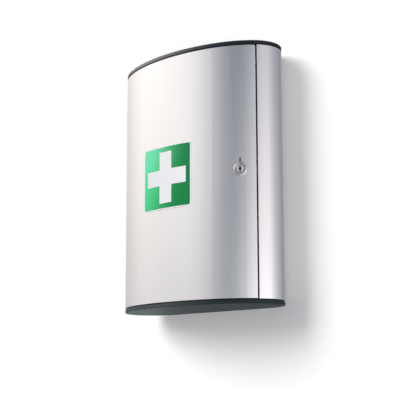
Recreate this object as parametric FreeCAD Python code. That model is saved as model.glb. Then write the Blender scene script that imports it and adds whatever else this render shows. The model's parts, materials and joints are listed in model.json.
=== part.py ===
import FreeCAD
import Part
import math
import os

from FreeCAD import Vector

# Oval wall cabinet: X right, Y into the wall, Z up, origin in the middle of the back plane
WIDTH = 302.0
HEIGHT = 400.0
DEPTH = 120.0
WALL = 2.0

# Section: tangent arcs that follow half an ellipse in front and round into the flat back, turns in degrees
BACK_DEPTH = 44.0
CORNER_RUN = 54.0
FRONT_TURNS = (0, 8, 16, 25, 35, 48, 66, 90)
CORNER_TURN = 135.0

# Door, its seams and its pivots
SIDE_RUN = 37.4
SEAM_GAP = 2.4
HINGE_GAP = 2.5
DOOR_CLEAR = 0.6
DOOR_RETURN = 7.3
DOOR_CORNER = 3.2
PIVOT_SETBACK = 12.0
PIVOT_DEPTH = 7.0
PIN_RADIUS = 2.5
PIN_LENGTH = 11.0
PIN_SEAT = 5.0
PIN_CHAMFER = 0.5
RUNNING_FIT = 0.05
PRESS_FIT = 0.02
BUSH_RADIUS = 3.8
BUSH_FLANGE = 0.8
BUSH_LIP = 0.9
BUSH_CLEAR = 0.4
RAIL_DEPTH = 12.0
RAIL_HEIGHT = 12.0
RAIL_SKIN = 2.4
RAIL_END = 0.6
GUSSET_COUNT = 6
GUSSET_PITCH = 40.0
GUSSET_THICK = 1.8

# End caps
CAP_RIM = 5.0
CAP_STEP = 2.0
GROOVE_DEPTH = 1.8
CAP_EDGE = 0.4
CORE_DEPTH = 3.5
CORE_INSET = 24.0
CORE_MARGIN = 5.0
RIB_COUNT = 3
RIB_PITCH = 56.0
RIB_THICK = 2.0
PLUG_HEIGHT = 10.0
PLUG_FIT = 0.3
PLUG_WALL = 2.4
SCREW_RADIUS = 1.75
SCREW_HEAD = 3.6
SCREW_LENGTH = 22.0
SCREW_CLEAR = 0.2
SCREW_RECESS = 1.2
SCREW_SLOT = 4.0

# Side profiles and back panel
CHAMBER_WIDTH = 31.0
CHAMBER_LEAD = 6.0
PORT_RADIUS = 4.2
PORT_SINK = 0.6
PORT_RUN = 4.0
PORT_BACK = 16.0
LAP_WIDTH = 14.0
LAP_SETBACK = 2.0
FIT = 0.1
HOLE_RADIUS = 2.75
HOLE_INSET = 20.0
HOLE_DROP = 48.0
RIVET_RADIUS = 1.7
RIVET_HEAD = 3.0
RIVET_SINK = 1.4
RIVET_TAIL = 1.2
RIVET_COUNT = 3
RIVET_DROP = 43.0

# Shelves
SHELF_THICK = 2.5
SHELF_LIP = 14.0
SHELF_LIP_WALL = 2.0
SHELF_GAP = 16.0
SHELF_CLEAR = 0.6
SHELF_STEP = 2
SHELF_RIB_COUNT = 3
SHELF_RIB_PITCH = 67.0
SHELF_RIB_HEIGHT = 6.0
SHELF_RIB_SETBACK = 8.0
SWING_CLEAR = 4.0
SLOT_LENGTH = 20.0
SLOT_HEIGHT = 3.3
SLOT_PITCH = 33.0
SLOT_MARGIN = 2.0
SLOT_END = 40.0
TAB_CLEAR = 0.4
TAB_HOOK = 1.5

# Sign plate
SIGN_SIZE = 100.0
SIGN_RUN = -9.0
SIGN_Z = 1.0
SIGN_THICK = 0.8
SIGN_CORNER = 3.0

# Cam lock and its strike
LOCK_SETBACK = 24.2
BEZEL_RADIUS = 10.2
BEZEL_HEIGHT = 2.6
BEZEL_CHAMFER = 1.2
BARREL_RADIUS = 8.8
BARREL_FLATS = 15.4
BARREL_CLEAR = 0.15
PLUG_RADIUS = 6.2
PLUG_RECESS = 0.7
DISH_WIDTH = 1.6
DISH_DEPTH = 1.8
KEYWAY_WIDTH = 1.9
KEYWAY_LENGTH = 9.2
KEYWAY_DEPTH = 7.0
CAM_SQUARE = 6.4
NUT_FLATS = 22.0
NUT_HEIGHT = 4.0
WASHER_THICK = 0.8
CAM_THICK = 2.0
CAM_CLEAR = 0.5
CAM_HUB = 7.6
CAM_TIP = 5.0
CAM_LAP = 10.0
CAM_SCREW_RADIUS = 2.0
CAM_SCREW_GRIP = 6.0
CAM_SCREW_FLATS = 7.0
CAM_SCREW_HEAD = 2.8
CAM_WASHER_RADIUS = 5.6
STRIKE_THICK = 1.5
STRIKE_HALF = 15.0
STRIKE_LAP = 8.0
STRIKE_CORNER = 2.5
STRIKE_RIVET_Z = 9.0
STRIKE_RIVET_HEAD = 1.0
JAMB_CLEAR = 1.5

HALF_W = WIDTH / 2
HALF_H = HEIGHT / 2
RISE = DEPTH - BACK_DEPTH
BODY_H = HALF_H - CAP_RIM - CAP_STEP
DOOR_H = BODY_H - DOOR_CLEAR
BIG = WIDTH + HEIGHT + DEPTH
UP = Vector(0, 0, 1)
INWARD = Vector(0, -1, 0)


def solve_pair(first, second, across, down):
    # Radii of two arcs, each given by its turn, that together move so far across and back
    s1 = math.sin(first[1]) - math.sin(first[0])
    c1 = math.cos(first[0]) - math.cos(first[1])
    s2 = math.sin(second[1]) - math.sin(second[0])
    c2 = math.cos(second[0]) - math.cos(second[1])
    det = s1 * c2 - s2 * c1
    return (across * c2 - s2 * down) / det, (s1 * down - across * c1) / det


def ellipse_point(turn):
    # Point of the front ellipse, seen from its centre, where it faces this turn
    across = HALF_W * math.sin(turn)
    ahead = RISE * math.cos(turn)
    size = math.hypot(across, ahead)
    return Vector(HALF_W * across / size, -RISE * ahead / size, 0)


def section_arcs():
    # Right half of the section as (radius, start turn, end turn, centre)
    turns = [math.radians(turn) for turn in FRONT_TURNS]
    chain = []
    for start, stop in zip(turns, turns[1:]):
        chord = (ellipse_point(stop) - ellipse_point(start)).Length
        chain.append([chord / (2 * math.sin((stop - start) / 2)), start, stop])
    inner = chain[1:-1]
    across = HALF_W - sum(radius * (math.sin(stop) - math.sin(start)) for radius, start, stop in inner)
    down = RISE - sum(radius * (math.cos(start) - math.cos(stop)) for radius, start, stop in inner)
    chain[0][0], chain[-1][0] = solve_pair(chain[0][1:], chain[-1][1:], across, down)
    bend = math.radians(CORNER_TURN)
    near, far = solve_pair((turns[-1], bend), (bend, math.pi), -CORNER_RUN, BACK_DEPTH)
    chain += [(near, turns[-1], bend), (far, bend, math.pi)]
    arcs = []
    point = Vector(0, -DEPTH, 0)
    for radius, start, stop in chain:
        centre = point - facing(start) * radius
        arcs.append((radius, start, stop, centre))
        point = centre + facing(stop) * radius
    return arcs


def facing(turn):
    return Vector(math.sin(turn), -math.cos(turn), 0)


ARCS = section_arcs()
FRONT_RUN = sum(radius * (stop - start) for radius, start, stop, centre in ARCS[:len(FRONT_TURNS) - 1])


def spot(run):
    # Point, turn and radius on the outline at a distance from the front centre, positive to the right
    left = abs(run)
    for radius, start, stop, centre in ARCS:
        length = radius * (stop - start)
        if left <= length:
            break
        left -= length
    turn = start + left / radius
    point = centre + facing(turn) * radius
    if run < 0:
        return Vector(-point.x, point.y, 0), -turn, radius
    return point, turn, radius


def local(run):
    # Frame on the outline: x along it to the right, y up, z outward
    point, turn, radius = spot(run)
    n = facing(turn)
    return FreeCAD.Matrix(-n.y, 0, n.x, point.x, n.x, 0, n.y, point.y, 0, 1, 0, 0, 0, 0, 0, 1)


def block(x0, x1, y0, y1, z0, z1):
    return Part.makeBox(x1 - x0, y1 - y0, z1 - z0, Vector(x0, y0, z0))


def rod(x, y, z0, z1, radius):
    return Part.makeCylinder(radius, z1 - z0, Vector(x, y, z0), UP)


def arc_edge(arc, inset, side, z):
    radius, start, stop, centre = arc
    points = []
    for turn in (start, (start + stop) / 2, stop):
        point = centre + facing(turn) * (radius - inset)
        points.append(Vector(side * point.x, point.y, z))
    return Part.Arc(*points).toShape()


def outline(inset, z0, z1):
    # Solid inside the section, drawn in by an even inset
    right = [arc_edge(arc, inset, 1, z0) for arc in ARCS]
    left = [arc_edge(arc, inset, -1, z0) for arc in ARCS]
    corner = HALF_W - CORNER_RUN
    flat = Part.makeLine(Vector(corner, -inset, z0), Vector(-corner, -inset, z0))
    edges = Part.__sortEdges__(right + [flat] + left)
    return Part.Face(Part.Wire(edges)).extrude(Vector(0, 0, z1 - z0))


def ring(inset, thickness, z0, z1):
    return outline(inset, z0, z1).cut(outline(inset + thickness, z0, z1))


def half_space(run, start, stop):
    return block(start, stop, -BIG, BIG, -BIG, BIG).transformed(local(run))


def mirrored(shape):
    return shape.mirror(Vector(0, 0, 0), Vector(1, 0, 0))


def flipped(shape):
    return shape.mirror(Vector(0, 0, 0), UP)


def hexagon(flats, z0, z1):
    radius = flats / math.sqrt(3)
    corners = [k * math.pi / 3 for k in range(7)]
    points = [Vector(radius * math.cos(a), radius * math.sin(a), z0) for a in corners]
    return Part.Face(Part.makePolygon(points)).extrude(Vector(0, 0, z1 - z0))


def revolved(profile):
    points = [Vector(r, 0, z) for r, z in profile]
    points.append(points[0])
    return Part.Face(Part.makePolygon(points)).revolve(Vector(0, 0, 0), UP, 360)


def spread(count, pitch):
    return [(k - (count - 1) / 2) * pitch for k in range(count)]


def save(name, shape):
    shape.removeSplitter().exportStep("parts/" + name + ".step")


def save_group(name, shapes):
    Part.makeCompound([shape.removeSplitter() for shape in shapes]).exportStep("parts/" + name + ".step")


os.makedirs("parts", exist_ok=True)

# Runs along the outline
seam_run = FRONT_RUN - SIDE_RUN
door_run = seam_run - SEAM_GAP / 2
profile_run = seam_run + SEAM_GAP / 2
hinge_run = -door_run
hinge_profile_run = hinge_run - HINGE_GAP
pivot_run = hinge_run + PIVOT_SETBACK
lock_run = door_run - LOCK_SETBACK

# Pivot axis and the reach of the door's tail behind it
pivot = spot(pivot_run)[0] - facing(spot(pivot_run)[1]) * PIVOT_DEPTH
tail_reach = (spot(hinge_run)[0] - pivot).Length

# Lock distances, seen from the lock's axis
lock_point, lock_turn, lock_radius = spot(lock_run)
lock_frame = local(lock_run)
lock_out = facing(lock_turn)
lock_along = Vector(-lock_out.y, lock_out.x, 0)
return_end = spot(door_run)[0] - facing(spot(door_run)[1]) * DOOR_RETURN
edge_reach = (spot(door_run)[0] - lock_point).dot(lock_along)
strike_front = (lock_point - return_end).dot(lock_out) + CAM_CLEAR
strike_back = strike_front + STRIKE_THICK
cam_front = strike_back + CAM_CLEAR
cam_back = cam_front + CAM_THICK
cam_reach = edge_reach + SEAM_GAP / 2
jamb_start = cam_reach + JAMB_CLEAR
barrel_end = cam_front - CAM_CLEAR

# Places shared by the profiles, the caps, the back and the shelves
web_x = HALF_W - CHAMBER_WIDTH
chamber_y = -(BACK_DEPTH + CHAMBER_LEAD)
back_half = HALF_W - CORNER_RUN - LAP_SETBACK
lap_y = -(WALL + FIT)
port_wall = WALL + PORT_RADIUS - PORT_SINK
side_point, side_turn, side_radius = spot(FRONT_RUN + PORT_RUN)
ports = [side_point - facing(side_turn) * port_wall, Vector(web_x + port_wall, -PORT_BACK, 0)]
rivet_x = back_half - LAP_WIDTH / 2
rivet_levels = spread(RIVET_COUNT, 2 * (BODY_H - RIVET_DROP) / (RIVET_COUNT - 1))
slot_y = -(PORT_BACK + PORT_RADIUS + SLOT_MARGIN + SLOT_LENGTH / 2)
slot_steps = int((BODY_H - SLOT_END) / SLOT_PITCH)
slot_levels = spread(2 * slot_steps + 1, SLOT_PITCH)
shelf_level = SHELF_STEP * SLOT_PITCH
front_half = block(-BIG, BIG, -BIG, -BACK_DEPTH, -BIG, BIG)


def side_profile(edge):
    # Curved wall, chamber with a flat slotted web, stepped lap for the back panel and screw ports
    full = (-BODY_H, BODY_H)
    inside = outline(WALL / 2, *full)
    wall = ring(0, WALL, *full).common(half_space(edge, 0, BIG))
    wall = wall.common(block(back_half + FIT, BIG, -BIG, BIG, -BIG, BIG))
    step = block(back_half + FIT, back_half + FIT + WALL, lap_y - WALL, 0, *full)
    lap = block(back_half - LAP_WIDTH, back_half + FIT + WALL, lap_y - WALL, lap_y, *full)
    web = block(web_x, web_x + WALL, chamber_y, 0, *full).common(inside)
    front = block(web_x, BIG, chamber_y, chamber_y + WALL, *full).common(inside)
    body = wall.fuse([step, lap, web, front])
    body = body.fuse([rod(port.x, port.y, *full, PORT_RADIUS).common(inside) for port in ports])
    body = body.cut([rod(port.x, port.y, *full, SCREW_RADIUS + RUNNING_FIT) for port in ports])
    cuts = []
    for level in slot_levels:
        low = level - SLOT_HEIGHT / 2
        y0 = slot_y - SLOT_LENGTH / 2
        cuts.append(block(web_x - WALL, web_x + 2 * WALL, y0, y0 + SLOT_LENGTH, low, low + SLOT_HEIGHT))
    for level in rivet_levels:
        base = Vector(rivet_x, 0, level)
        cuts.append(Part.makeCylinder(RIVET_RADIUS + RUNNING_FIT, 3 * WALL, base, INWARD))
    return body.cut(cuts)


def strike_holes():
    low = -(strike_back + 2 * WALL)
    run = jamb_start + STRIKE_LAP / 2
    levels = (-STRIKE_RIVET_Z, STRIKE_RIVET_Z)
    return [rod(run, z, low, 0, RIVET_RADIUS + RUNNING_FIT).transformed(lock_frame) for z in levels]


def jamb_flange():
    # Flange behind the closing edge, parallel to the cam
    flange = block(jamb_start, BIG, -BODY_H, BODY_H, -(strike_back + WALL), -strike_back)
    flange = flange.transformed(lock_frame).common(outline(WALL / 2, -BODY_H, BODY_H))
    return flange.common(block(web_x, BIG, -BIG, -BACK_DEPTH, -BIG, BIG)).cut(strike_holes())


save("left_side_profile", mirrored(side_profile(-hinge_profile_run)))
save("right_side_profile", side_profile(profile_run).fuse(jamb_flange()))


def back_panel():
    panel = block(-back_half, back_half, -WALL, 0, -BODY_H, BODY_H)
    hole_x = back_half - HOLE_INSET
    hole_z = BODY_H - HOLE_DROP
    cuts = []
    for x in (-hole_x, hole_x):
        for z in (-hole_z, hole_z):
            cuts.append(Part.makeCylinder(HOLE_RADIUS, 2 * WALL, Vector(x, 0, z), INWARD))
    for x in (-rivet_x, rivet_x):
        for z in rivet_levels:
            base = Vector(x, 0, z)
            cuts.append(Part.makeCone(RIVET_HEAD + FIT, RIVET_RADIUS + FIT, RIVET_SINK, base, INWARD))
            cuts.append(Part.makeCylinder(RIVET_RADIUS + RUNNING_FIT, 2 * WALL, base, INWARD))
    return panel.cut(cuts)


def back_rivet(x, z):
    base = Vector(x, 0, z)
    head = Part.makeCone(RIVET_HEAD, RIVET_RADIUS, RIVET_SINK, base, INWARD)
    shank = Part.makeCylinder(RIVET_RADIUS, WALL - lap_y, base, INWARD)
    tail = Part.makeCylinder(RIVET_HEAD, RIVET_TAIL, base + INWARD * (WALL - lap_y), INWARD)
    return head.fuse([shank, tail])


save("back_panel", back_panel())
save_group("back_rivets", [back_rivet(x, z) for x in (-rivet_x, rivet_x) for z in rivet_levels])


def chamber_plug():
    # Rib that locates the cap in a profile's chamber, open round the screw ports
    low = BODY_H - PLUG_HEIGHT
    high = BODY_H + CAP_STEP
    x0 = web_x + WALL + PLUG_FIT
    y0 = chamber_y + WALL + PLUG_FIT
    hollow = outline(WALL + PLUG_FIT + PLUG_WALL, low, high)
    hollow = hollow.common(block(x0 + PLUG_WALL, BIG, y0 + PLUG_WALL, 0, low, high))
    plug = outline(WALL + PLUG_FIT, low, high).common(block(x0, BIG, y0, 0, low, high)).cut(hollow)
    plug = plug.cut([rod(port.x, port.y, low, BODY_H, PORT_RADIUS + PLUG_FIT) for port in ports])
    return plug


def cap_core():
    # Moulded pockets in the cap's inner face, between ribs
    low = BODY_H - CAP_STEP
    pocket = outline(CORE_INSET, low, BODY_H + CORE_DEPTH)
    edge = web_x - CORE_MARGIN
    pocket = pocket.common(block(-edge, edge, -BIG, -CORE_MARGIN - WALL, low, BIG))
    half = RIB_THICK / 2
    ribs = [block(x - half, x + half, -BIG, BIG, 0, BIG) for x in spread(RIB_COUNT, RIB_PITCH)]
    ribs.append(block(-BIG, BIG, -BACK_DEPTH - RIB_THICK, -BACK_DEPTH, 0, BIG))
    return pocket.cut(ribs)


def end_cap():
    # Rim in the full outline and an inset step that leaves a shadow groove above the metal
    rim = outline(0, BODY_H + CAP_STEP, HALF_H)
    top = [edge for edge in rim.Edges if abs(edge.BoundBox.ZMin - HALF_H) < FIT and edge.BoundBox.YMin < -FIT]
    rim = rim.makeChamfer(CAP_EDGE, top)
    plug = chamber_plug()
    cap = rim.fuse([outline(GROOVE_DEPTH, BODY_H, BODY_H + CAP_STEP), plug, mirrored(plug)])
    cuts = [cap_core(), rod(pivot.x, pivot.y, 0, BODY_H + PIN_SEAT + FIT, PIN_RADIUS + PRESS_FIT)]
    sink = SCREW_HEAD - SCREW_RADIUS
    for port in ports:
        for x in (-port.x, port.x):
            base = Vector(x, port.y, HALF_H)
            hole = SCREW_RADIUS + SCREW_CLEAR
            cuts.append(rod(x, port.y, 0, HALF_H, hole))
            cuts.append(Part.makeCone(SCREW_HEAD + SCREW_CLEAR, hole, sink, base, -UP))
    return cap.cut(cuts)


def cap_screw(x, y):
    base = Vector(x, y, HALF_H - SCREW_CLEAR)
    head = Part.makeCone(SCREW_HEAD, SCREW_RADIUS, SCREW_HEAD - SCREW_RADIUS, base, -UP)
    shank = Part.makeCylinder(SCREW_RADIUS, SCREW_LENGTH, base, -UP)
    long = SCREW_SLOT / 2
    thin = SCREW_RECESS / 2
    slot = block(-long, long, -thin, thin, -SCREW_RECESS, SCREW_RECESS)
    cross = slot.fuse(slot.rotated(Vector(0, 0, 0), UP, 90))
    cross.translate(base)
    return head.fuse(shank).cut(cross)


cap = end_cap()
cap_screws = [cap_screw(x, port.y) for port in ports for x in (-port.x, port.x)]
save("top_cap", cap)
save("bottom_cap", flipped(cap))
save_group("top_cap_screws", cap_screws)
save_group("bottom_cap_screws", [flipped(screw) for screw in cap_screws])

# Hinge pins in the caps and flanged bushes in the door's rails
rail_top = BODY_H - BUSH_CLEAR - BUSH_FLANGE
rail_low = rail_top - RAIL_HEIGHT


def hinge_pin():
    pin = rod(pivot.x, pivot.y, BODY_H - PIN_LENGTH, BODY_H + PIN_SEAT, PIN_RADIUS)
    tip = [edge for edge in pin.Edges if edge.BoundBox.ZMax < BODY_H - PIN_LENGTH + FIT]
    return pin.makeChamfer(PIN_CHAMFER, tip)


def pivot_bush():
    bush = rod(pivot.x, pivot.y, rail_low, rail_top, BUSH_RADIUS)
    bush = bush.fuse(rod(pivot.x, pivot.y, rail_top, rail_top + BUSH_FLANGE, BUSH_RADIUS + BUSH_LIP))
    return bush.cut(rod(pivot.x, pivot.y, 0, BIG, PIN_RADIUS + RUNNING_FIT))


save("upper_hinge_pin", hinge_pin())
save("lower_hinge_pin", flipped(hinge_pin()))
save("upper_pivot_bush", pivot_bush())
save("lower_pivot_bush", flipped(pivot_bush()))


def corner_cut(run, side, top, radius):
    # What rounding takes from an upper corner of a curved sheet, side 1 at its right end and -1 at its left
    reach = 2 * DOOR_RETURN
    square = block(0, 2 * radius, 0, 2 * radius, -reach, reach)
    square = square.cut(rod(0, 0, -reach, reach, radius))
    if side < 0:
        square = mirrored(square)
    square.translate(Vector(-side * radius, top - radius, 0))
    return square.transformed(local(run))


def door_panel():
    # Curved skin with rounded upper corners, a return at the closing edge and a lock hole with flats
    skin = ring(0, WALL, -DOOR_H, DOOR_H).common(front_half)
    skin = skin.common(half_space(door_run, -BIG, 0)).common(half_space(hinge_run, 0, BIG))
    closing = block(-WALL, 0, -DOOR_H, DOOR_H, -DOOR_RETURN, -WALL / 2).transformed(local(door_run))
    ends = ((hinge_run, -1), (door_run, 1))
    door = skin.fuse(closing).cut([corner_cut(run, side, DOOR_H, DOOR_CORNER) for run, side in ends])
    flats = BARREL_FLATS / 2 + BARREL_CLEAR
    hole = rod(0, 0, -DOOR_RETURN, DOOR_RETURN, BARREL_RADIUS + BARREL_CLEAR)
    hole = hole.common(block(-BIG, BIG, -flats, flats, -BIG, BIG))
    return door.cut(hole.transformed(lock_frame))


def door_rail():
    # L section along the skin with gussets and a boss for the bush
    outer = WALL + RUNNING_FIT
    flange = ring(outer, RAIL_DEPTH, rail_top - RAIL_SKIN, rail_top)
    skirt = ring(outer, RAIL_SKIN, rail_low, rail_top)
    boss_radius = BUSH_RADIUS + RAIL_SKIN
    rail = flange.fuse(skirt).common(front_half)
    rail = rail.common(half_space(door_run, -BIG, -(WALL + RAIL_END)))
    rail = rail.common(half_space(pivot_run, -boss_radius, BIG))
    pieces = [rod(pivot.x, pivot.y, rail_low, rail_top, boss_radius)]
    for run in spread(GUSSET_COUNT, GUSSET_PITCH):
        inner = -outer - RAIL_SKIN / 2
        high = rail_top - RAIL_SKIN / 2
        corners = [(rail_low + RAIL_SKIN, inner), (high, inner), (high, -RAIL_DEPTH),
                   (rail_top - 2 * RAIL_SKIN, -RAIL_DEPTH)]
        points = [Vector(-GUSSET_THICK / 2, y, z) for y, z in corners + corners[:1]]
        web = Part.Face(Part.makePolygon(points)).extrude(Vector(GUSSET_THICK, 0, 0))
        pieces.append(web.transformed(local(run)))
    space = outline(outer, rail_low, rail_top)
    for piece in pieces:
        rail = rail.fuse(piece.common(space))
    return rail.cut(rod(pivot.x, pivot.y, 0, BIG, BUSH_RADIUS + PRESS_FIT))


save("door_panel", door_panel())
save("door_top_rail", door_rail())
save("door_bottom_rail", flipped(door_rail()))


def sign_plate():
    low = SIGN_Z - SIGN_SIZE / 2
    high = SIGN_Z + SIGN_SIZE / 2
    left = SIGN_RUN - SIGN_SIZE / 2
    right = SIGN_RUN + SIGN_SIZE / 2
    sign = ring(-SIGN_THICK - RUNNING_FIT, SIGN_THICK, low, high).common(front_half)
    sign = sign.common(half_space(left, 0, BIG)).common(half_space(right, -BIG, 0))
    corners = []
    for run, side in ((left, -1), (right, 1)):
        corners.append(corner_cut(run, side, high, SIGN_CORNER))
        corners.append(flipped(corner_cut(run, side, -low, SIGN_CORNER)))
    return sign.cut(corners)


save("sign_plate", sign_plate())

# Lock parts, drawn along the lock's axis with z outward and placed on the door
sag = lock_radius - math.sqrt(lock_radius ** 2 - (NUT_FLATS / 2) ** 2)
washer_top = -(WALL + sag + FIT)
nut_top = washer_top - WASHER_THICK
plug_face = BEZEL_HEIGHT - PLUG_RECESS


def lock_housing():
    # Bezel seated on the curved door, dished front and a barrel with flats
    edge = BEZEL_HEIGHT - BEZEL_CHAMFER
    bezel = revolved([(0, -WALL), (BEZEL_RADIUS, -WALL), (BEZEL_RADIUS, edge),
                      (BEZEL_RADIUS - BEZEL_CHAMFER, BEZEL_HEIGHT), (0, BEZEL_HEIGHT)])
    bezel = bezel.transformed(lock_frame).cut(outline(-RUNNING_FIT, -2 * BEZEL_RADIUS, 2 * BEZEL_RADIUS))
    flats = BARREL_FLATS / 2
    barrel = rod(0, 0, -barrel_end, BEZEL_HEIGHT - DISH_DEPTH, BARREL_RADIUS)
    barrel = barrel.common(block(-BIG, BIG, -flats, flats, -BIG, BIG))
    bore = PLUG_RADIUS + RUNNING_FIT
    dish = Part.makeCone(bore, bore + DISH_WIDTH, DISH_DEPTH, Vector(0, 0, BEZEL_HEIGHT - DISH_DEPTH), UP)
    hole = rod(0, 0, -BIG, BIG, bore).fuse(dish)
    return bezel.fuse(barrel.transformed(lock_frame)).cut(hole.transformed(lock_frame))


def lock_washer():
    washer = rod(0, 0, nut_top, washer_top, NUT_FLATS / 2)
    return washer.cut(rod(0, 0, -BIG, BIG, BARREL_RADIUS + BARREL_CLEAR))


def lock_nut():
    low = nut_top - NUT_HEIGHT
    nut = hexagon(NUT_FLATS, low, nut_top)
    return nut.cut(rod(0, 0, -BIG, BIG, BARREL_RADIUS + RUNNING_FIT))


def lock_plug():
    # Turning core with a keyway in front and a square end for the cam
    plug = rod(0, 0, -barrel_end, plug_face, PLUG_RADIUS)
    half = CAM_SQUARE / 2
    plug = plug.fuse(block(-half, half, -half, half, -cam_back, -barrel_end))
    thin = KEYWAY_WIDTH / 2
    tall = KEYWAY_LENGTH / 2
    wide = KEYWAY_WIDTH
    keyway = block(-thin, thin, -tall, tall, -KEYWAY_DEPTH, 0)
    keyway = keyway.fuse(block(-wide, wide, -wide, wide, -KEYWAY_DEPTH, 0))
    keyway.translate(UP * plug_face)
    thread = rod(0, 0, -cam_back, -(cam_back - CAM_SCREW_GRIP), CAM_SCREW_RADIUS + RUNNING_FIT)
    return plug.cut([keyway, thread])


def lock_cam():
    # Cam hanging down in the unlocked position
    y = -(cam_reach - CAM_TIP)
    cam = rod(0, 0, -cam_back, -cam_front, CAM_HUB).fuse(rod(0, y, -cam_back, -cam_front, CAM_TIP))
    corners = [(-CAM_HUB, 0), (CAM_HUB, 0), (CAM_TIP, y), (-CAM_TIP, y), (-CAM_HUB, 0)]
    points = [Vector(u, v, -cam_back) for u, v in corners]
    cam = cam.fuse(Part.Face(Part.makePolygon(points)).extrude(UP * CAM_THICK))
    half = CAM_SQUARE / 2 + RUNNING_FIT
    return cam.cut(block(-half, half, -half, half, -BIG, BIG))


def cam_washer():
    washer = rod(0, 0, -(cam_back + WASHER_THICK), -cam_back, CAM_WASHER_RADIUS)
    return washer.cut(rod(0, 0, -BIG, BIG, CAM_SCREW_RADIUS + FIT))


def cam_screw():
    seat = cam_back + WASHER_THICK
    head = hexagon(CAM_SCREW_FLATS, -(seat + CAM_SCREW_HEAD), -seat)
    return head.fuse(rod(0, 0, -seat, -(cam_back - CAM_SCREW_GRIP + FIT), CAM_SCREW_RADIUS))


def lock_strike():
    tongue = cam_reach - CAM_LAP
    strike = block(tongue, jamb_start + STRIKE_LAP, -STRIKE_HALF, STRIKE_HALF, -strike_back, -strike_front)
    upright = [edge for edge in strike.Edges if abs(edge.BoundBox.ZLength - STRIKE_THICK) < FIT]
    return strike.makeFillet(STRIKE_CORNER, upright).transformed(lock_frame).cut(strike_holes())


def strike_rivet(z):
    run = jamb_start + STRIKE_LAP / 2
    under = -(strike_back + WALL)
    head = rod(run, z, -strike_front, -strike_front + STRIKE_RIVET_HEAD, RIVET_HEAD)
    shank = rod(run, z, under, -strike_front, RIVET_RADIUS)
    tail = rod(run, z, under - STRIKE_RIVET_HEAD, under, RIVET_HEAD)
    return head.fuse([shank, tail]).transformed(lock_frame)


save("lock_housing", lock_housing())
save("lock_washer", lock_washer().transformed(lock_frame))
save("lock_nut", lock_nut().transformed(lock_frame))
save("lock_plug", lock_plug().transformed(lock_frame))
save("lock_cam", lock_cam().transformed(lock_frame))
save("cam_washer", cam_washer().transformed(lock_frame))
save("cam_screw", cam_screw().transformed(lock_frame))
save("lock_strike", lock_strike())
save_group("strike_rivets", [strike_rivet(z) for z in (-STRIKE_RIVET_Z, STRIKE_RIVET_Z)])


def shelf(level):
    # Plate with a curved front lip, ribs below and tabs in the web slots
    low = level - SHELF_THICK / 2
    high = level + SHELF_THICK / 2
    half = web_x - SHELF_CLEAR
    back = lap_y - WALL - RIVET_TAIL - SHELF_CLEAR
    span = outline(WALL + SHELF_CLEAR, -BODY_H, BODY_H).common(block(-half, half, -BIG, back, -BIG, BIG))
    swing = rod(pivot.x, pivot.y, -BIG, BIG, tail_reach + SWING_CLEAR)
    span = span.cut([swing, mirrored(swing)])
    lip = ring(SHELF_GAP, SHELF_LIP_WALL, low, high + SHELF_LIP).common(front_half)
    space = outline(SHELF_GAP + SHELF_RIB_SETBACK, low - SHELF_RIB_HEIGHT, high)
    space = space.fuse(block(-half, half, -BACK_DEPTH, 0, low - SHELF_RIB_HEIGHT, high))
    tray = outline(SHELF_GAP, low, high).common(front_half)
    tray = tray.fuse([block(-BIG, BIG, -BACK_DEPTH, 0, low, high), lip])
    for x in spread(SHELF_RIB_COUNT, SHELF_RIB_PITCH):
        rib = block(x - WALL / 2, x + WALL / 2, -BIG, 0, low - SHELF_RIB_HEIGHT, low)
        tray = tray.fuse(rib.common(space))
    y0 = slot_y - SLOT_LENGTH / 2 + TAB_CLEAR
    y1 = slot_y + SLOT_LENGTH / 2 - TAB_CLEAR
    tab = block(half - WALL, web_x + WALL + TAB_HOOK, y0, y1, low, high)
    return tray.common(span).fuse([tab, mirrored(tab)])


save("upper_shelf", shelf(shelf_level))
save("lower_shelf", shelf(-shelf_level))
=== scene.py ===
"""First aid cabinet: finishes, printed sign, stage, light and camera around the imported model."""

import json
import math

import bpy
import numpy as np
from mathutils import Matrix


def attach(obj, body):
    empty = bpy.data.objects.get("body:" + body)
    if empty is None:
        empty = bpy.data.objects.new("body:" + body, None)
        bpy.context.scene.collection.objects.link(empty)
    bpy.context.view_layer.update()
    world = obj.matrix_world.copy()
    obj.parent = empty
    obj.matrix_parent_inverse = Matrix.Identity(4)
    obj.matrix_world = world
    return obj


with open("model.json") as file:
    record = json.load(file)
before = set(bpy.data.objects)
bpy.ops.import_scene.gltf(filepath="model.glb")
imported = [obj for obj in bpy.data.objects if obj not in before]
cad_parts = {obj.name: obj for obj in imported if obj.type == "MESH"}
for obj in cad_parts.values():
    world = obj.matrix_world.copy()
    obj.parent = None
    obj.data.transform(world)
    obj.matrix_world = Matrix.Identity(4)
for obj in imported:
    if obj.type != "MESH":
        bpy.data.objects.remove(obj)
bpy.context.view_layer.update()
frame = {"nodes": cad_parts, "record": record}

MM = 0.001
QUARTER_TURN = math.pi / 2

# Sockets of a Mix node that blends colours
MIX_SHARE = 0
MIX_LOW = 6
MIX_HIGH = 7
MIX_RESULT = 2

# How far patterns are drawn out along each axis: lines of the extrusions, scratches of the lock
DRAWN_LINES = (1.0, 1.0, 0.012)
LOCK_SCRATCHES = (0.08, 0.08, 1.0)

# Door skin in plan: tangent arcs that follow half an ellipse, turns from straight ahead
DOOR_FRONT = 120.0 * MM
HALF_WIDTH = 151.0 * MM
FRONT_RISE = 76.0 * MM
SKIN_TURNS = np.radians((0, 8, 16, 25, 35, 48, 66, 90))

# Printed sign on its plate
SIGN_RUN = -9.0 * MM
SIGN_HEIGHT = 1.0 * MM
PLATE_LIFT = 0.8 * MM
FIELD_SIDE = 96.6 * MM
FIELD_CORNER = 2.2 * MM
CROSS_REACH = 81.0 * MM
CROSS_BAR = 25.0 * MM
CROSS_CORNER = 0.5 * MM

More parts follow.
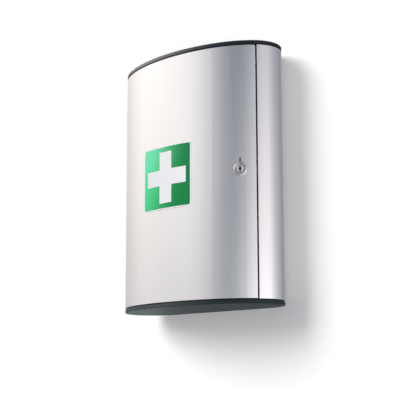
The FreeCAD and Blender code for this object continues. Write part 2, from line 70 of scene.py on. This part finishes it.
# Green of the field: deep at the right, and pale at the left where light from the upper left is painted
# into it, low and high on the sign, and where one fades into the other
GREEN_DEEP = (0.001, 0.200, 0.050, 1.0)
GREEN_PAINTED_LIGHT_LOW = (0.034, 0.555, 0.200, 1.0)
GREEN_PAINTED_LIGHT_HIGH = (0.078, 0.585, 0.285, 1.0)
PAINTED_LIGHT_FADE_UP = (-40.0 * MM, 40.0 * MM)
PAINTED_LIGHT_FADE_ACROSS = (-55.0 * MM, 28.0 * MM)
PAINTED_LIGHT_SLANT = 0.25
PAINTED_LIGHT_SPECKLE = 3.0 * MM

# Ink films: thickness, rounded edge, spacing of points, rings, points at a corner, crease and speckle
INK_THICK = 0.12 * MM
INK_EDGE = 0.05 * MM
INK_STEP = 3.0 * MM
INK_RINGS = 16
INK_CORNER_POINTS = 5
INK_CREASE = math.radians(35.0)
INK_SPECKLE = 5200.0

# Lock axis on the door, the painted shade in its recesses and where it fades, and the index mark above it
LOCK_RUN = 120.36 * MM
PAINTED_SHADE_RADIUS = 8.2 * MM
PAINTED_SHADE_HEIGHT = 0.9 * MM
PAINTED_SHADE_FADE = 0.9 * MM
MARK_WIDTH = 3.2 * MM
MARK_LOW = 10.3 * MM
MARK_HIGH = 17.4 * MM
MARK_CORNER = 0.6 * MM

# Camera, fitted to the outline, the seam, the sign and the lock in the photograph, and how far it sees
CAMERA_PLACE = (0.98528, -1.21291, -0.33304)
CAMERA_TURN = math.radians(40.944)
CAMERA_TILT = math.radians(9.301)
CAMERA_LENS = 87.93
CAMERA_SENSOR = 36.0
CAMERA_SHIFT = (0.0297, 0.09)
CAMERA_FAR = 64.0

# Stage: a wall behind the cabinet that sweeps into a floor, inside a pale room
WALL_GAP = 0.6 * MM
WALL_TOP = 3.0
WALL_PAINTS = ((0.722, 0.72, 0.70, 1.0), (0.732, 0.73, 0.71, 1.0))
FLOOR_DROP = 1.3
SWEEP_RADIUS = 0.4
SWEEP_POINTS = 25
STAGE_REACH = 7.0
ROOM_RADIUS = 16.0
ROOM_POINTS_AROUND = 49
ROOM_POINTS_UP = 25
ROOM_TONE = 0.93

# Soft studio glows: azimuth and elevation in degrees, sharpness, and colour at the middle
AMBIENT = (0.021, 0.063, 0.115)
GLOWS = (
    (-62.0, 32.4, 5.6, (2.12, 1.96, 1.85)),
    (-19.4, 14.0, 19.5, (1.12, 1.06, 1.03)),
    (43.0, -24.3, 11.1, (3.18, 3.11, 3.15)),
    (83.9, -14.1, 6.8, (2.53, 2.31, 2.29)),
    (140.6, 4.0, 7.8, (0.51, 0.50, 0.48)),
    (225.9, 20.3, 4.5, (0.96, 0.94, 0.82)),
)

# Broad lamp for the wall: turn, rise and spread in degrees, and strength
WALL_LAMP_TURN = -36.0
WALL_LAMP_RISE = 31.0
WALL_LAMP_SPREAD = 40.0
WALL_LAMP_STRENGTH = 3.0

# Softboxes that face the sign: turn and rise in degrees, distance, side, power and colour
SIGN_LAMP = dict(turn=-62.0, rise=26.0, reach=0.7, side=0.26, power=2.6, colour=(1.0, 1.0, 1.0))
RIM_LAMP = dict(turn=-56.0, rise=24.0, reach=0.6, side=0.6, power=9.0, colour=(1.0, 1.0, 1.0))
UNDER_LAMP = dict(turn=-127.0, rise=-30.0, reach=0.57, side=0.18, power=0.1, colour=(0.82, 1.0, 1.0))


class Value:
    """A socket of a node tree; arithmetic on it adds the Math nodes that work it out."""

    def __init__(self, tree, socket):
        self.tree = tree
        self.socket = socket

    def math(self, operation, *inputs):
        """The result of a Math node on these inputs."""
        return self.tree.node("ShaderNodeMath", {"operation": operation}, dict(enumerate(inputs)))

    def __add__(self, other):
        return self.math("ADD", self, other)

    __radd__ = __add__

    def __sub__(self, other):
        return self.math("SUBTRACT", self, other)

    def __rsub__(self, other):
        return self.math("SUBTRACT", other, self)

    def __mul__(self, other):
        return self.math("MULTIPLY", self, other)

    __rmul__ = __mul__

    def larger(self, other):
        """The larger of two values."""
        return self.math("MAXIMUM", self, other)

    def exponential(self):
        """The number e to the power of this value."""
        return self.math("EXPONENT", self)


class Tree:
    """A node tree written one node per call."""

    def __init__(self, owner):
        owner.use_nodes = True
        self.nodes = owner.node_tree.nodes
        self.links = owner.node_tree.links
        self.nodes.clear()

    def node(self, kind, settings=None, sockets=None, out=0):
        """Add a node: its settings come first, then the values or links of its sockets."""
        made = self.nodes.new(kind)
        for name, value in (settings or {}).items():
            setattr(made, name, value)
        for name, value in (sockets or {}).items():
            if isinstance(value, Value):
                self.links.new(value.socket, made.inputs[name])
            else:
                made.inputs[name].default_value = value
        return Value(self, made.outputs[out]) if made.outputs else None

    def vector(self, operation, first, second, out="Vector"):
        """The result of a Vector Math node on two vectors."""
        return self.node("ShaderNodeVectorMath", {"operation": operation}, {0: first, 1: second}, out)

    def noise(self, place, scale, detail=2.0):
        """Cloudy noise from 0 to 1, finer as scale grows."""
        return self.node("ShaderNodeTexNoise", {}, {"Vector": place, "Scale": scale, "Detail": detail})

    def stretched(self, place, scale):
        """The place scaled along each axis, so that a pattern on it is drawn out where scale is small."""
        return self.node("ShaderNodeMapping", {}, {"Vector": place, "Scale": scale})

    def blend(self, share, low, high):
        """The colour that goes from low to high as share goes from 0 to 1."""
        sockets = {MIX_SHARE: share, MIX_LOW: low, MIX_HIGH: high}
        return self.node("ShaderNodeMix", {"data_type": "RGBA"}, sockets, MIX_RESULT)

    def ramp(self, value, low, high):
        """0 below low and 1 above high, with a smooth step between them."""
        sockets = {"Value": value, "From Min": low, "From Max": high}
        return self.node("ShaderNodeMapRange", {"interpolation_type": "SMOOTHSTEP"}, sockets)

    def bump(self, height, depth):
        """The normal of a surface raised by height times depth."""
        return self.node("ShaderNodeBump", {}, {"Height": height, "Distance": depth, "Strength": 1.0})


class Finish(Tree):
    """A material, and the place of each point on the piece that has it."""

    def __init__(self, name):
        self.material = bpy.data.materials.new(name)
        super().__init__(self.material)
        self.place = self.node("ShaderNodeTexCoord", out="Object")

    def along(self, axis):
        """The place along one axis."""
        return self.node("ShaderNodeSeparateXYZ", {}, {"Vector": self.place}, out=axis)

    def from_lock(self):
        """The place as seen from where the lock's axis leaves the door."""
        return self.vector("SUBTRACT", self.place, LOCK_POINT)

    def lock_height(self):
        """Height above the door along the lock's axis."""
        return self.vector("DOT_PRODUCT", self.from_lock(), LOCK_OUT, out="Value")

    def lock_reach(self):
        """Distance from the lock's axis."""
        across = self.vector("CROSS_PRODUCT", self.from_lock(), LOCK_OUT)
        return self.node("ShaderNodeVectorMath", {"operation": "LENGTH"}, {0: across}, out="Value")

    def surface(self, shader):
        """The material with this shader as its surface."""
        self.node("ShaderNodeOutputMaterial", {}, {"Surface": shader})
        return self.material

    def shade(self, **sockets):
        """The material with one Principled shader, whose sockets are named with underscores."""
        named = {key.replace("_", " "): value for key, value in sockets.items()}
        return self.surface(self.node("ShaderNodeBsdfPrincipled", {}, named))


def skin_arcs():
    """The door skin's arcs: the run and the point where each begins, and its radius.

    An arc has the radius that its turn gives to the chord between two points of the ellipse, and the
    first and last radii are solved so that the chain ends where the ellipse does."""
    wide, ahead = HALF_WIDTH * np.sin(SKIN_TURNS), FRONT_RISE * np.cos(SKIN_TURNS)
    ellipse = np.stack([HALF_WIDTH * wide, FRONT_RISE * ahead]) / np.hypot(wide, ahead)
    turned = np.diff(SKIN_TURNS)
    radii = np.linalg.norm(np.diff(ellipse), axis=0) / (2 * np.sin(turned / 2))
    steps = np.stack([np.diff(np.sin(SKIN_TURNS)), -np.diff(np.cos(SKIN_TURNS))])
    rest = np.array([HALF_WIDTH, FRONT_RISE]) - steps[:, 1:-1] @ radii[1:-1]
    radii[[0, -1]] = np.linalg.solve(steps[:, [0, -1]], rest)
    starts = np.cumsum(steps * radii, axis=1) - steps * radii
    runs = np.cumsum(turned * radii) - turned * radii
    return runs, starts, radii


def on_door(run, height, lift):
    """Points on the door skin from the run along it and the height, moved out by lift.

    The turn grows along each arc by the run over the radius, and the point is the arc's start plus
    the radius times the change of the turn's sine and cosine."""
    runs, starts, radii = skin_arcs()
    arc = np.searchsorted(runs, np.abs(run), side="right") - 1
    first, radius = SKIN_TURNS[arc], radii[arc]
    turn = first + (np.abs(run) - runs[arc]) / radius
    across = starts[0][arc] + radius * (np.sin(turn) - np.sin(first)) + lift * np.sin(turn)
    back = starts[1][arc] + radius * (np.cos(first) - np.cos(turn)) - lift * np.cos(turn)
    return np.stack(np.broadcast_arrays(np.sign(run) * across, back - DOOR_FRONT, height), axis=-1)


LOCK_POINT = on_door(LOCK_RUN, 0.0, 0.0)
LOCK_OUT = (on_door(LOCK_RUN, 0.0, MM) - LOCK_POINT) / MM


def grey(level, warmth=0.0):
    """A nearly neutral colour: warmth lifts the red and lowers the blue."""
    return (level * (1 + warmth), level, level * (1 - warmth), 1.0)


def anodised_aluminium():
    """Satin anodised extrusion: fine drawn lines along the height over a blasted grain."""
    made = Finish("anodised_aluminium")
    lines = made.noise(made.stretched(made.place, DRAWN_LINES), scale=1900.0, detail=3.0)
    grain = made.noise(made.place, scale=3600.0)
    drift = made.noise(made.place, scale=7.0, detail=3.0)
    return made.shade(
        Base_Color=made.blend(drift, grey(0.615, warmth=-0.006), grey(0.665, warmth=0.004)),
        Metallic=1.0,
        Roughness=0.29 + 0.07 * lines + 0.05 * grain,
        Normal=made.bump(lines * 0.6 + grain, depth=2.5e-6),
    )


def moulded_plastic(name, dark, light, roughness, grain_scale, grain_depth, gloss=0.5):
    """Moulded plastic with a spark-eroded grain and a faint drift of tone."""
    made = Finish(name)
    grain = made.noise(made.place, grain_scale, detail=3.0)
    drift = made.noise(made.place, scale=26.0, detail=3.0)
    tone = made.ramp(drift * 0.6 + grain * 0.4, low=0.3, high=0.7)
    return made.shade(
        Base_Color=made.blend(tone, dark, light),
        Roughness=roughness - 0.06 + 0.12 * grain,
        Specular_IOR_Level=gloss,
        Normal=made.bump(grain, grain_depth),
    )


def anthracite_plastic():
    """The dark plastic of the end caps, less glossy than the other mouldings."""
    return moulded_plastic(
        "anthracite_plastic",
        dark=(0.0045, 0.0100, 0.0130, 1.0),
        light=(0.0080, 0.0145, 0.0180, 1.0),
        roughness=0.5,
        grain_scale=2400.0,
        grain_depth=1.0e-5,
        gloss=0.2,
    )


def rail_plastic():
    """The black plastic of the door's rails."""
    return moulded_plastic(
        "rail_plastic",
        dark=grey(0.016),
        light=grey(0.028),
        roughness=0.5,
        grain_scale=1900.0,
        grain_depth=1.2e-5,
    )


def shelf_plastic():
    """The pale grey plastic of the shelves."""
    return moulded_plastic(
        "shelf_plastic",
        dark=grey(0.50),
        light=grey(0.58),
        roughness=0.4,
        grain_scale=1500.0,
        grain_depth=0.8e-5,
    )


def bush_plastic():
    """The natural plastic of the pivot bushes."""
    return moulded_plastic(
        "bush_plastic",
        dark=grey(0.70, warmth=0.02),
        light=grey(0.78, warmth=0.02),
        roughness=0.35,
        grain_scale=1800.0,
        grain_depth=0.6e-5,
    )


def printed_film(name, ink, roughness):
    """Satin printed film with the slight waviness of a pressed label."""
    made = Finish(name)
    speckle = made.noise(made.place, INK_SPECKLE)
    waves = made.noise(made.place, scale=60.0)
    return made.shade(
        Base_Color=ink(made, speckle),
        Roughness=roughness + 0.05 * speckle,
        Specular_IOR_Level=0.1,
        Normal=made.bump(waves + speckle * 0.02, depth=2.0e-5),
    )


def green_ink_with_painted_light(made, speckle):
    """Green with painted light from the upper left: lighter to the left, and there a little paler towards
    the top.
    """
    across = made.along("X")
    height = made.along("Z")
    # Painted light: the green is paler at the left and towards the top, where light from the upper left
    # falls
    pale = made.blend(made.ramp(height, *PAINTED_LIGHT_FADE_UP), GREEN_PAINTED_LIGHT_LOW, GREEN_PAINTED_LIGHT_HIGH)
    slanted = across - height * PAINTED_LIGHT_SLANT + speckle * PAINTED_LIGHT_SPECKLE
    return made.blend(made.ramp(slanted, *PAINTED_LIGHT_FADE_ACROSS), pale, GREEN_DEEP)


def white_ink(made, speckle):
    """White with a faint speckle."""
    return made.blend(speckle, grey(0.90, warmth=0.004), grey(0.95, warmth=0.004))


def index_ink():
    """Dark grey print with a faint speckle."""
    made = Finish("index_ink")
    speckle = made.noise(made.place, INK_SPECKLE)
    return made.shade(
        Base_Color=made.blend(speckle, grey(0.08, warmth=-0.06), grey(0.12, warmth=-0.06)),
        Roughness=0.4 + 0.2 * speckle,
    )


def polished_nickel():
    """Nickel plate with fine scratches and a soft cloud of tarnish, darkened by painted shade in the lock's
    recesses.
    """
    made = Finish("polished_nickel")
    scratches = made.noise(made.stretched(made.place, LOCK_SCRATCHES), scale=5200.0, detail=3.0)
    cloud = made.noise(made.place, scale=320.0, detail=3.0)
    plate = made.blend(cloud, grey(0.50, warmth=0.02), grey(0.66, warmth=0.03))
    # Painted shade: dark grey near the lock's axis and low over the door, in its recesses
    outside_painted_shade = made.ramp(made.lock_reach(), PAINTED_SHADE_RADIUS, PAINTED_SHADE_RADIUS + PAINTED_SHADE_FADE)
    raised = made.ramp(made.lock_height(), PAINTED_SHADE_HEIGHT, PAINTED_SHADE_HEIGHT + PAINTED_SHADE_FADE)
    return made.shade(
        Base_Color=made.blend(outside_painted_shade.larger(raised), grey(0.12, warmth=0.1), plate),
        Metallic=1.0,
        Roughness=0.38 + 0.12 * cloud + 0.06 * scratches,
        Normal=made.bump(scratches, depth=1.5e-6),
    )


def zinc_plate(name, dark, light):
    """Zinc plate: a fine crystal pattern in tone and gloss."""
    made = Finish(name)
    sockets = {"Vector": made.place, "Scale": 620.0}
    crystals = made.node("ShaderNodeTexVoronoi", {}, sockets, out="Distance")
    grain = made.noise(made.place, scale=2600.0)
    return made.shade(
        Base_Color=made.blend(crystals, dark, light),
        Metallic=1.0,
        Roughness=0.28 + 0.10 * crystals + 0.08 * grain,
        Normal=made.bump(grain, depth=3.0e-6),
    )


finishes = {
    "anodised_aluminium": anodised_aluminium(),
    "anthracite_plastic": anthracite_plastic(),
    "rail_plastic": rail_plastic(),
    "shelf_plastic": shelf_plastic(),
    "bush_plastic": bush_plastic(),
    "sign_green": printed_film("sign_white", white_ink, roughness=0.35),
    "lock_chrome": polished_nickel(),
    "zinc_steel": zinc_plate("zinc_plate", dark=grey(0.52, warmth=-0.02), light=grey(0.66, warmth=0.02)),
    "black_zinc": zinc_plate("black_zinc", dark=grey(0.03), light=grey(0.06)),
}
for row in frame["record"]["subparts"]:
    node = frame["nodes"][row["node"]]
    node.data.materials.clear()
    node.data.materials.append(finishes[row["material_slot"]])


def new_piece(name, points, faces):
    """An object at the origin whose mesh has these points and faces."""
    mesh = bpy.data.meshes.new(name)
    mesh.from_pydata(points.reshape(-1, 3).tolist(), [], faces)
    piece = bpy.data.objects.new(name, mesh)
    bpy.context.scene.collection.objects.link(piece)
    return piece


def smooth(mesh):
    """Shade every face of a mesh smoothly."""
    mesh.polygons.foreach_set("use_smooth", np.ones(len(mesh.polygons), bool))


def grid_faces(rows, columns, closed=False):
    """Four-sided faces between the neighbours of a grid: along the row, up, and back along the next
    row. In a closed grid the neighbour of the last column is the first."""
    here = np.arange(columns if closed else columns - 1)
    after = (here + 1) % columns
    start = np.arange(rows - 1)[:, None] * columns
    above = start + columns
    return np.stack([start + here, start + after, above + after, above + here], axis=-1).reshape(-1, 4)


def rounded(corners, radius):
    """A closed flat outline with square turns: each corner is a quarter circle, each side is cut
    into steps, and the outline is their points one after another."""
    ahead = np.roll(corners, -1, axis=0) - corners
    ahead /= np.linalg.norm(ahead, axis=1)[:, None]
    behind = np.roll(ahead, 1, axis=0)
    swing = np.linspace(0.0, QUARTER_TURN, INK_CORNER_POINTS)[:, None]
    middles = (corners + radius * (ahead - behind))[:, None]
    arcs = middles + radius * (behind[:, None] * np.sin(swing) - ahead[:, None] * np.cos(swing))
    points = []
    for arc, following in zip(arcs, np.roll(arcs, -1, axis=0)):
        side = following[0] - arc[-1]
        count = max(2, round(float(np.linalg.norm(side)) / INK_STEP) + 1)
        share = np.linspace(0.0, 1.0, count)[1:-1, None]
        points += [arc, arc[-1] + share * side]
    return np.concatenate(points)


def ink_film(name, outline, middle, low, high):
    """A thin printed film on the door: rings of the flat outline shrunk to its middle make the top,
    the outer rings drop over a small rounded edge, and the same rings close the underside; each flat
    point is then wrapped onto the door skin at its ring's lift."""
    inner = np.linspace(0.0, 1.0, INK_RINGS + 1)[1:]
    edge = 1.0 - INK_EDGE / np.abs(outline - middle).max()
    shares = np.concatenate([inner * edge, [1.0, 1.0], inner[::-1] * edge])
    drop = min(INK_EDGE, high - low)
    lifts = np.concatenate([np.full(INK_RINGS, high), [high - drop, low], np.full(INK_RINGS, low)])
    flat = middle + shares[:, None, None] * (outline - middle)
    rings = on_door(flat[..., 0], flat[..., 1], lifts[:, None])
    poles = on_door(np.full(2, middle[0]), np.full(2, middle[1]), np.array([high, low]))
    points = np.concatenate([rings.reshape(-1, 3), poles])
    count = len(outline)
    here = np.arange(count)
    after = (here + 1) % count
    last = (len(shares) - 1) * count
    top_pole = len(shares) * count
    # The grid's faces are taken the other way round, so that they point outwards
    quads = grid_faces(len(shares), count, closed=True)[:, [0, 3, 2, 1]]
    top_fan = np.stack([np.full(count, top_pole), here, after], axis=-1)
    low_fan = np.stack([np.full(count, top_pole + 1), last + after, last + here], axis=-1)
    film = new_piece(name, points, quads.tolist() + top_fan.tolist() + low_fan.tolist())
    smooth(film.data)
    film.data.set_sharp_from_angle(angle=INK_CREASE)
    return film


def rectangle(middle, width, height):
    """The corners of an upright rectangle: half its size to either side of its middle."""
    return middle + np.array([(-1, -1), (1, -1), (1, 1), (-1, 1)]) * (width / 2, height / 2)


def plus(middle, reach, bar):
    """The corners of a plus: three corners of one arm, and the same three after each quarter turn."""
    long, short = reach / 2, bar / 2
    arm = np.array([(short, -long), (short, -short), (long, -short)])
    turn = np.array([(0, 1), (-1, 0)])
    return middle + np.concatenate([arm @ np.linalg.matrix_power(turn, count) for count in range(4)])


def sign():
    """The green field and the white cross, one film on the other, on the sign plate."""
    middle = np.array([SIGN_RUN, SIGN_HEIGHT])
    field_outline = rounded(rectangle(middle, FIELD_SIDE, FIELD_SIDE), FIELD_CORNER)
    field_top = PLATE_LIFT + INK_THICK
    field = ink_film("sign_field", field_outline, middle, PLATE_LIFT - INK_EDGE, field_top)
    field.data.materials.append(printed_film("sign_green_ink", green_ink_with_painted_light, roughness=0.38))
    cross_outline = rounded(plus(middle, CROSS_REACH, CROSS_BAR), CROSS_CORNER)
    cross = ink_film("sign_cross", cross_outline, middle, field_top - INK_EDGE, field_top + INK_THICK)
    cross.data.materials.append(finishes["sign_green"])
    for piece in (field, cross):
        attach(piece, "door")
    return field


def index_mark():
    """The dark mark above the lock that shows where the key goes in."""
    middle = np.array([LOCK_RUN, (MARK_LOW + MARK_HIGH) / 2])
    outline = rounded(rectangle(middle, MARK_WIDTH, MARK_HIGH - MARK_LOW), MARK_CORNER)
    mark = ink_film("lock_index_mark", outline, middle, -INK_EDGE, INK_THICK)
    mark.data.materials.append(index_ink())
    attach(mark, "door")


green_field = sign()
index_mark()


def seen_by_camera_only(piece):
    """Keep a piece of the stage out of the light and the reflections on the cabinet."""
    piece.visible_diffuse = False
    piece.visible_glossy = False
    piece.visible_transmission = False
    piece.visible_shadow = False


def stage_paint():
    """Matt white paint that lets the view through from behind."""
    made = Finish("stage_paint")
    cloud = made.noise(made.place, scale=3.0)
    paint = made.node("ShaderNodeBsdfDiffuse", {}, {"Color": made.blend(cloud, *WALL_PAINTS)})
    clear = made.node("ShaderNodeBsdfTransparent")
    behind = made.node("ShaderNodeNewGeometry", out="Backfacing")
    return made.surface(made.node("ShaderNodeMixShader", {}, {0: behind, 1: paint, 2: clear}))


def room_paint():
    """An even pale glow."""
    made = Finish("room_paint")
    return made.surface(made.node("ShaderNodeEmission", {}, {"Color": grey(ROOM_TONE), "Strength": 1.0}))


def stage_wall():
    """Wall and floor in one sweep: a profile that goes down the wall, round a quarter circle and out
    along the floor is carried along the x axis."""
    swing = np.linspace(0.0, QUARTER_TURN, SWEEP_POINTS)
    bend_depth = WALL_GAP - SWEEP_RADIUS * (1 - np.cos(swing))
    bend_height = SWEEP_RADIUS * (1 - np.sin(swing)) - FLOOR_DROP
    depth = np.concatenate([[WALL_GAP], bend_depth, [-STAGE_REACH]])
    height = np.concatenate([[WALL_TOP], bend_height, [-FLOOR_DROP]])
    across = np.array([[-STAGE_REACH], [STAGE_REACH]])
    points = np.stack(np.broadcast_arrays(across, depth, height), axis=-1)
    wall = new_piece("stage_wall", points, grid_faces(len(across), len(depth)).tolist())
    smooth(wall.data)
    wall.data.materials.append(stage_paint())
    seen_by_camera_only(wall)
    return wall


def stage_room():
    """A ball around the stage: across and ahead are the cosine of the rise times the cosine and the
    sine of the turn, up is the sine of the rise, and all are times the radius."""
    turn = np.linspace(-math.pi, math.pi, ROOM_POINTS_AROUND)[:, None]
    rise = np.linspace(-QUARTER_TURN, QUARTER_TURN, ROOM_POINTS_UP)
    across, ahead, up = np.cos(rise) * np.cos(turn), np.cos(rise) * np.sin(turn), np.sin(rise)
    points = np.stack(np.broadcast_arrays(across, ahead, up), axis=-1) * ROOM_RADIUS
    room = new_piece("stage_room", points, grid_faces(len(turn), len(rise)).tolist())
    room.data.materials.append(room_paint())
    seen_by_camera_only(room)


def heading(azimuth, elevation):
    """Unit vector to a light: azimuth turns from straight ahead of the door to the right."""
    turn, rise = math.radians(azimuth), math.radians(elevation)
    return np.array([math.sin(turn) * math.cos(rise), -math.cos(turn) * math.cos(rise), math.sin(rise)])


def studio_light():
    """A world of soft glows: each falls off as e to the power of sharpness times (cosine - 1)."""
    world = bpy.data.worlds.new("soft_studio")
    bpy.context.scene.world = world
    tree = Tree(world)
    way = tree.node("ShaderNodeTexCoord", out="Generated")
    light = AMBIENT
    for azimuth, elevation, sharpness, colour in GLOWS:
        cosine = tree.vector("DOT_PRODUCT", way, heading(azimuth, elevation), out="Value")
        share = ((cosine - 1.0) * sharpness).exponential()
        glow = tree.node("ShaderNodeVectorMath", {"operation": "SCALE"}, {"Vector": colour, "Scale": share})
        light = tree.vector("ADD", glow, light)
    sky = tree.node("ShaderNodeBackground", {}, {"Color": light})
    tree.node("ShaderNodeOutputWorld", {}, {"Surface": sky})


def lamp_for(name, kind, pieces, turn, rise):
    """A lamp that lights these pieces alone and shines from this turn and rise."""
    lamp = bpy.data.objects.new(name, bpy.data.lights.new(name, kind))
    bpy.context.scene.collection.objects.link(lamp)
    lit = bpy.data.collections.new("lit_by_" + name)
    for piece in pieces:
        lit.objects.link(piece)
    lamp.light_linking.receiver_collection = lit
    lamp.rotation_euler = (QUARTER_TURN - math.radians(rise), 0.0, math.radians(turn))
    return lamp


def wall_lamp(wall):
    """A broad lamp for the wall, which lays the cabinet's soft shadow on it."""
    lamp = lamp_for("wall_lamp", "SUN", [wall], WALL_LAMP_TURN, WALL_LAMP_RISE)
    lamp.data.energy = WALL_LAMP_STRENGTH
    lamp.data.angle = math.radians(WALL_LAMP_SPREAD)


def softbox(name, pieces, turn, rise, reach, side, power, colour):
    """A square softbox that hangs this far from the sign and faces it."""
    lamp = lamp_for(name, "AREA", pieces, turn, rise)
    lamp.data.energy = power
    lamp.data.color = colour
    lamp.data.shape = "SQUARE"
    lamp.data.size = side
    lamp.location = on_door(SIGN_RUN, SIGN_HEIGHT, 0.0) + heading(turn, rise) * reach


def softboxes():
    """Softboxes at the front left for the green field and the rims of the end caps, and one low at
    the back left, which the underside of the bottom cap reflects."""
    top_cap, bottom_cap = frame["nodes"]["top_cap"], frame["nodes"]["bottom_cap"]
    softbox("sign_lamp", [green_field], **SIGN_LAMP)
    softbox("rim_lamp", [top_cap, bottom_cap], **RIM_LAMP)
    softbox("under_lamp", [bottom_cap], **UNDER_LAMP)


def camera():
    """A camera that sees the cabinet as the photograph does."""
    lens = bpy.data.cameras.new("camera")
    lens.lens = CAMERA_LENS
    lens.sensor_width = CAMERA_SENSOR
    lens.shift_x, lens.shift_y = CAMERA_SHIFT
    lens.clip_end = CAMERA_FAR
    piece = bpy.data.objects.new("camera", lens)
    bpy.context.scene.collection.objects.link(piece)
    piece.location = CAMERA_PLACE
    piece.rotation_euler = (QUARTER_TURN + CAMERA_TILT, 0.0, CAMERA_TURN)
    bpy.context.scene.camera = piece


wall = stage_wall()
stage_room()
wall_lamp(wall)
softboxes()
studio_light()
camera()
bpy.context.scene.view_settings.view_transform = "Standard"
